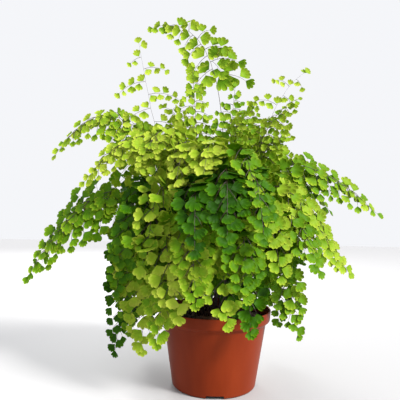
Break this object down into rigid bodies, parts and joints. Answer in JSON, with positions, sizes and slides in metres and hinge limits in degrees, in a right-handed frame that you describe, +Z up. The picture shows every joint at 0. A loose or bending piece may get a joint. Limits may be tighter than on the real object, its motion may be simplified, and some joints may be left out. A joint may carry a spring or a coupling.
{
  "type": "potted maidenhair fern",
  "caption": "Fan-leaved fern with arching, drooping fronds on wiry dark stems, growing in soil in a round tapered plastic nursery pot with a rim band.",
  "frame": {"origin": "middle of the pot's flat underside, on the surface it stands on", "axes": "+Z up the pot's axis, +X to the right and -Y to the front of the plant, the side with the densest drooping fronds"},
  "size_m": [0.3803, 0.2764, 0.4166],
  "materials": {
    "pot_plastic": "satin",
    "soil": "matte",
    "rhizome": "matte",
    "frond_young": "satin",
    "frond_mature": "satin",
    "frond_old": "satin"
  },
  "bodies": {
    "root": {"pot": "pot_plastic", "potting_soil": "soil", "rhizome": "rhizome", "frond_top": "frond_young", "frond_top_left": "frond_mature", "frond_top_right": "frond_mature", "frond_young_left": "frond_young", "frond_young_right": "frond_young", "frond_arm_left_high": "frond_mature", "frond_arm_left_bright": "frond_young", "frond_arm_left_long": "frond_mature", "frond_arm_right_long": "frond_mature", "frond_right_middle": "frond_young", "frond_right_low": "frond_old", "frond_right_rim": "frond_old", "frond_left_low_dark": "frond_old", "frond_left_low_bright": "frond_young", "frond_front_left": "frond_young", "frond_front_left_high": "frond_mature", "frond_front_centre": "frond_mature", "frond_front_middle": "frond_mature", "frond_front_right": "frond_mature", "frond_front_right_low": "frond_old", "frond_centre_high_right": "frond_mature", "frond_right_high": "frond_mature", "frond_bright_left": "frond_young", "frond_bright_middle": "frond_young", "frond_bright_outer": "frond_young", "frond_deep_centre": "frond_old", "frond_deep_right": "frond_old", "frond_deep_left": "frond_old", "frond_back_high_left": "frond_mature", "frond_back_high": "frond_mature", "frond_back_high_right": "frond_mature", "frond_back_left": "frond_old", "frond_back_middle_left": "frond_mature", "frond_back_middle": "frond_old", "frond_back_middle_right": "frond_mature", "frond_back_right": "frond_old", "frond_back_low_left": "frond_old", "frond_back_low": "frond_old", "frond_back_low_right": "frond_old", "frond_back_inner_left": "frond_old", "frond_back_inner_right": "frond_old", "frond_side_left": "frond_old", "frond_side_right": "frond_old", "frond_side_right_front": "frond_old", "frond_left_middle": "frond_old", "frond_left_shoulder": "frond_old", "frond_front_left_low": "frond_mature", "frond_right_middle_front": "frond_young", "frond_right_shoulder": "frond_mature", "frond_middle_high": "frond_mature", "frond_left_high_small": "frond_young", "frond_front_bright_right": "frond_old", "frond_back_inner_low": "frond_old", "frond_high_right_outer": "frond_young", "frond_left_low_middle": "frond_old", "frond_right_low_inner": "frond_old"}
  },
  "joints": []
}
